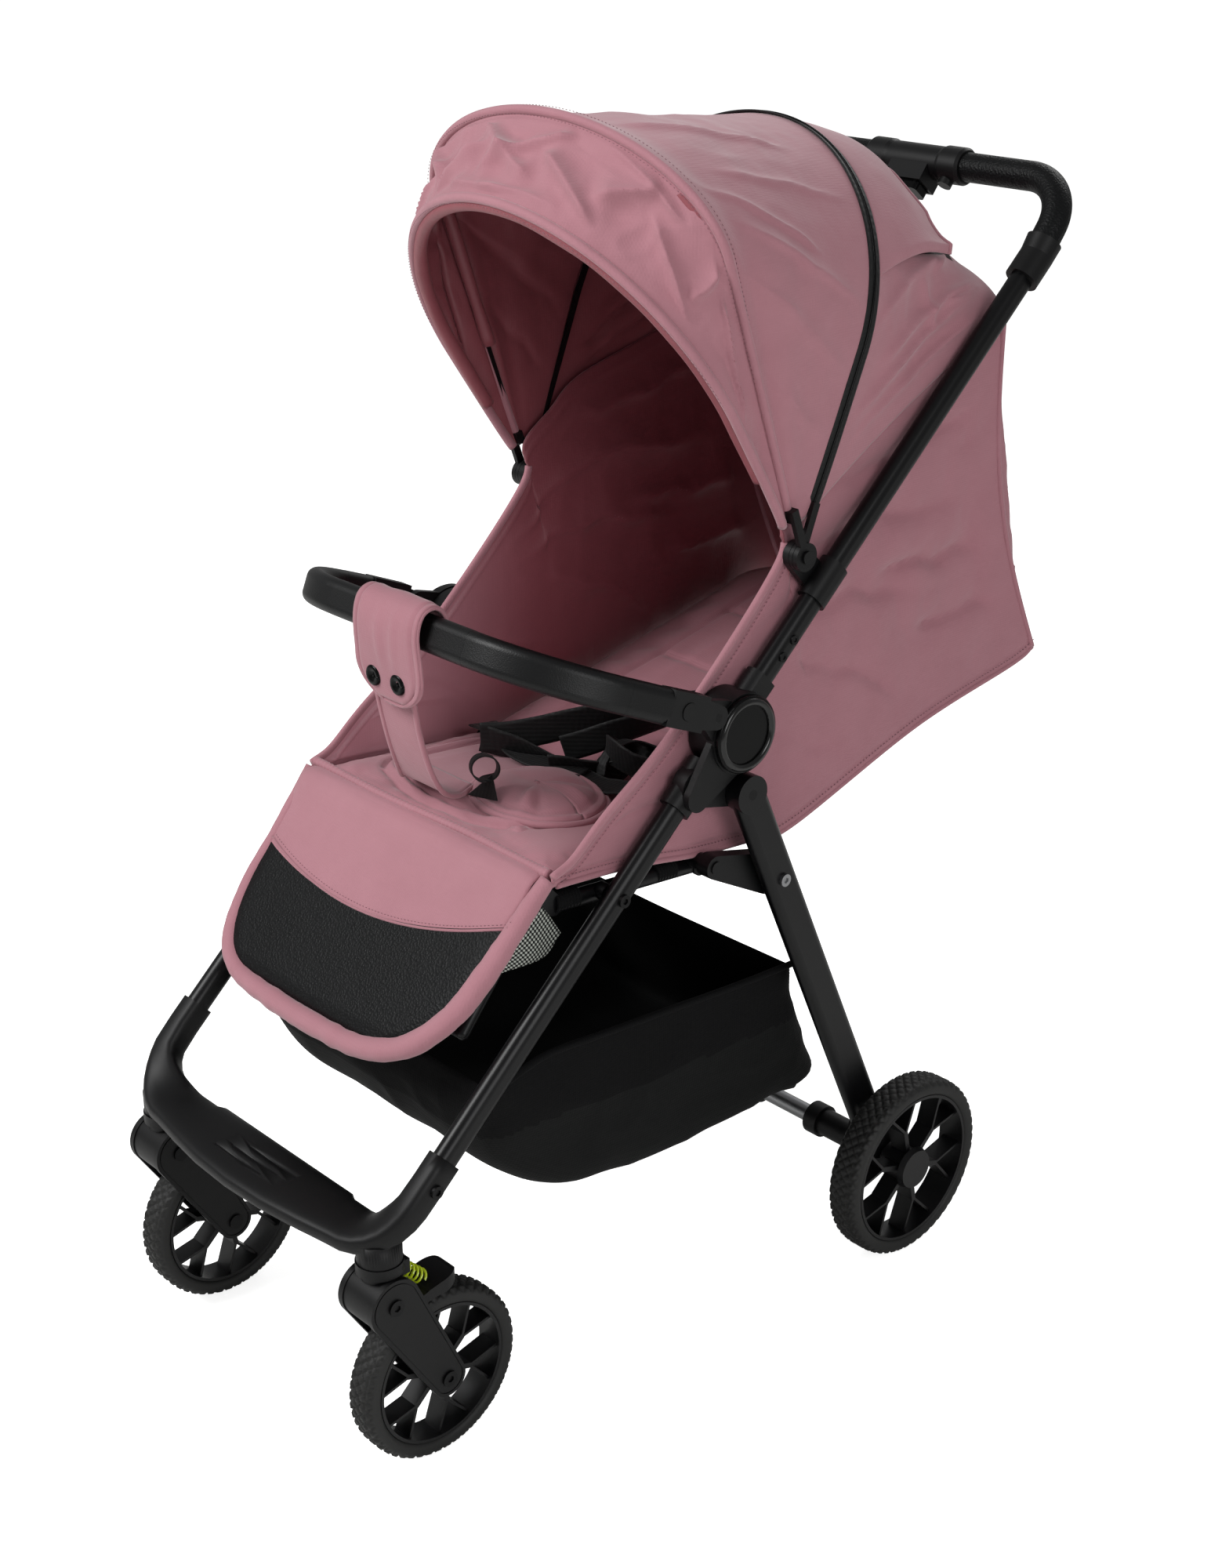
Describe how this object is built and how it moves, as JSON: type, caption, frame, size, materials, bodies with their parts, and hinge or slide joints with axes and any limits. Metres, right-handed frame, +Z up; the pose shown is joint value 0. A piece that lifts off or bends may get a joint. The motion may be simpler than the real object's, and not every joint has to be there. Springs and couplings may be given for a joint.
{
  "type": "baby stroller",
  "caption": "Folding baby stroller with a reclining seat, hinged hood, bumper bar, basket, sprung casters and a folding handle.",
  "frame": {"origin": "on the floor, under the middle of the whole stroller", "axes": "+Z up, the child faces -Y, +X is the child's left"},
  "size_m": [0.51, 0.8904, 1.1152],
  "materials": {
    "frame_black": "satin black powder coat",
    "moulded_black": "fine textured moulding",
    "gloss_black": "polished",
    "steel": "zinc plated",
    "dark_screw": "blackened",
    "tyre_black": "foam filled tyre, diamond tread",
    "rim_black": "moulded wheel",
    "spring_green": "yellow-green lacquer",
    "cloth_pink": "woven polyester",
    "cloth_lining": "coated lining",
    "cloth_black": "woven black polyester and mesh",
    "leatherette": "stitched leatherette",
    "button_red": "polished"
  },
  "bodies": {
    "chassis": {"front_leg_left": "frame_black", "front_leg_right": "frame_black", "front_crossbar": "moulded_black", "hub_housings": "moulded_black", "hub_caps": "gloss_black", "hub_pins": "steel", "frame_screws": "dark_screw", "basket": "cloth_black", "side_cloths": "cloth_lining"},
    "handle_frame": {"handle_tube_left": "frame_black", "handle_tube_right": "frame_black", "handle_hubs": "moulded_black", "handle_sleeves": "moulded_black", "handlebar": "frame_black", "handle_grips": "leatherette", "fold_housing": "moulded_black", "hood_brackets": "moulded_black", "hood_rear_panel": "cloth_pink", "hood_back_panel": "cloth_pink", "tube_rivets": "dark_screw"},
    "trigger": {"fold_trigger": "gloss_black"},
    "rear_frame": {"rear_leg_left": "frame_black", "rear_leg_right": "frame_black", "rear_axle": "steel", "axle_brackets": "moulded_black"},
    "brake": {"brake_pedal": "moulded_black"},
    "rear_wheel_left": {"rear_tyre_left": "tyre_black", "rear_rim_left": "rim_black"},
    "rear_wheel_right": {"rear_tyre_right": "tyre_black", "rear_rim_right": "rim_black"},
    "caster_left": {"caster_post_left": "moulded_black"},
    "caster_right": {"caster_post_right": "moulded_black"},
    "fork_left": {"caster_arms_left": "moulded_black", "caster_bolts_left": "dark_screw", "caster_spring_left": "spring_green"},
    "fork_right": {"caster_arms_right": "moulded_black", "caster_bolts_right": "dark_screw", "caster_spring_right": "spring_green"},
    "front_wheel_left": {"front_tyre_left": "tyre_black", "front_rim_left": "rim_black"},
    "front_wheel_right": {"front_tyre_right": "tyre_black", "front_rim_right": "rim_black"},
    "seat": {"seat_frame": "frame_black", "seat_pad": "cloth_pink", "harness": "cloth_black", "harness_buckle": "moulded_black"},
    "buckle_press": {"buckle_button": "button_red"},
    "links": {"seat_links": "moulded_black"},
    "back": {"backrest": "cloth_pink"},
    "legrest": {"legrest_frame": "frame_black", "legrest_pad": "cloth_pink"},
    "bumper": {"bumper_bar": "leatherette", "bumper_ends": "moulded_black", "bumper_cover": "cloth_pink"},
    "button_left": {"bumper_button_left": "moulded_black"},
    "button_right": {"bumper_button_right": "moulded_black"},
    "hood_rear": {"hood_rear_bow": "moulded_black"},
    "hood_main": {"hood_main_bow": "moulded_black", "hood_top_panel": "cloth_pink"},
    "hood_visor": {"visor": "cloth_pink"}
  },
  "joints": [
    {"name": "handle_fold", "type": "hinge", "parent": "chassis", "child": "handle_frame", "pos_m": [0, -0.01348, 0.60437], "axis": [1, 0, 0], "range_deg": [0, 120], "deforming": ["side_cloths", "basket", "hood_rear_panel", "hood_back_panel", "hood_top_panel", "visor", "hood_rear_bow", "hood_main_bow", "legrest_pad", "bumper_cover"]},
    {"name": "rear_leg_fold", "type": "hinge", "parent": "chassis", "child": "rear_frame", "pos_m": [0, -0.00748, 0.54637], "axis": [1, 0, 0], "range_deg": [-45, 0]},
    {"name": "seat_lift", "type": "hinge", "parent": "chassis", "child": "seat", "pos_m": [0, -0.14619, 0.48276], "axis": [1, 0, 0], "range_deg": [0, 23.2]},
    {"name": "link_swing", "type": "hinge", "parent": "rear_frame", "child": "links", "pos_m": [0, 0.03564, 0.45063], "axis": [1, 0, 0], "range_deg": [-26.4, 0]},
    {"name": "bumper_fold", "type": "hinge", "parent": "chassis", "child": "bumper", "pos_m": [0, -0.05294, 0.63169], "axis": [1, 0, 0], "range_deg": [0, 50]},
    {"name": "fold_trigger_press", "type": "slide", "parent": "handle_frame", "child": "trigger", "axis": [0, 0.6293, 0.7771], "range_m": [0, 0.004], "stiffness_N_per_m": 600, "springref_m": -0.002},
    {"name": "brake_pedal_press", "type": "hinge", "parent": "rear_frame", "child": "brake", "pos_m": [0, 0.19627, 0.094], "axis": [1, 0, 0], "range_deg": [-18, 0]},
    {"name": "rear_wheel_left_spin", "type": "hinge", "parent": "rear_frame", "child": "rear_wheel_left", "pos_m": [0.237, 0.19627, 0.094], "axis": [1, 0, 0], "continuous": true},
    {"name": "caster_left_swivel", "type": "hinge", "parent": "chassis", "child": "caster_left", "pos_m": [0.165, -0.39873, 0.2], "axis": [0, 0, 1], "continuous": true},
    {"name": "suspension_left", "type": "hinge", "parent": "caster_left", "child": "fork_left", "pos_m": [0.165, -0.40073, 0.1833], "axis": [1, 0, 0], "range_deg": [0, 5], "stiffness_Nm_per_rad": 40, "springref_deg": -5.73, "deforming": ["caster_spring_left"]},
    {"name": "front_wheel_left_spin", "type": "hinge", "parent": "fork_left", "child": "front_wheel_left", "pos_m": [0.165, -0.34673, 0.0833], "axis": [1, 0, 0], "continuous": true},
    {"name": "rear_wheel_right_spin", "type": "hinge", "parent": "rear_frame", "child": "rear_wheel_right", "pos_m": [-0.237, 0.19627, 0.094], "axis": [1, 0, 0], "continuous": true},
    {"name": "caster_right_swivel", "type": "hinge", "parent": "chassis", "child": "caster_right", "pos_m": [-0.165, -0.39873, 0.2], "axis": [0, 0, 1], "continuous": true},
    {"name": "suspension_right", "type": "hinge", "parent": "caster_right", "child": "fork_right", "pos_m": [-0.165, -0.40073, 0.1833], "axis": [1, 0, 0], "range_deg": [0, 5], "stiffness_Nm_per_rad": 40, "springref_deg": -5.73, "deforming": ["caster_spring_right"]},
    {"name": "front_wheel_right_spin", "type": "hinge", "parent": "fork_right", "child": "front_wheel_right", "pos_m": [-0.165, -0.34673, 0.0833], "axis": [1, 0, 0], "continuous": true},
    {"name": "backrest_recline", "type": "hinge", "parent": "seat", "child": "back", "pos_m": [0, -0.00073, 0.49], "axis": [1, 0, 0], "range_deg": [0, 50]},
    {"name": "legrest_lift", "type": "hinge", "parent": "seat", "child": "legrest", "pos_m": [0, -0.21073, 0.5], "axis": [1, 0, 0], "range_deg": [-50, 0]},
    {"name": "buckle_press_slide", "type": "slide", "parent": "seat", "child": "buckle_press", "axis": [0, 0, -1], "range_m": [0, 0.002], "stiffness_N_per_m": 400, "springref_m": -0.002},
    {"name": "bumper_button_left_press", "type": "slide", "parent": "bumper", "child": "button_left", "axis": [-1, 0, 0], "range_m": [0, 0.003], "stiffness_N_per_m": 500, "springref_m": -0.002},
    {"name": "bumper_button_right_press", "type": "slide", "parent": "bumper", "child": "button_right", "axis": [1, 0, 0], "range_m": [0, 0.003], "stiffness_N_per_m": 500, "springref_m": -0.002},
    {"name": "hood_fold", "type": "hinge", "parent": "handle_frame", "child": "hood_rear", "pos_m": [0, 0.07502, 0.74187], "axis": [1, 0, 0], "range_deg": [-30, 0], "deforming": ["hood_rear_panel", "hood_top_panel", "visor"]},
    {"name": "hood_fold_main", "type": "hinge", "parent": "hood_rear", "child": "hood_main", "pos_m": [0, 0.07502, 0.74187], "axis": [1, 0, 0], "range_deg": [-27, 0], "deforming": ["hood_top_panel", "visor"]},
    {"name": "visor_flip", "type": "hinge", "parent": "hood_main", "child": "hood_visor", "pos_m": [0, 0.07502, 0.74187], "axis": [1, 0, 0], "range_deg": [-10, 12], "deforming": ["visor"]}
  ],
  "couplings": [
    {"joint": "rear_leg_fold", "follows": "handle_fold", "ratio": -0.375},
    {"joint": "seat_lift", "follows": "handle_fold", "ratio": 0.1933},
    {"joint": "link_swing", "follows": "handle_fold", "ratio": -0.2195},
    {"joint": "bumper_fold", "follows": "handle_fold", "ratio": 0.4166},
    {"joint": "hood_fold_main", "follows": "hood_fold", "ratio": 0.9}
  ]
}
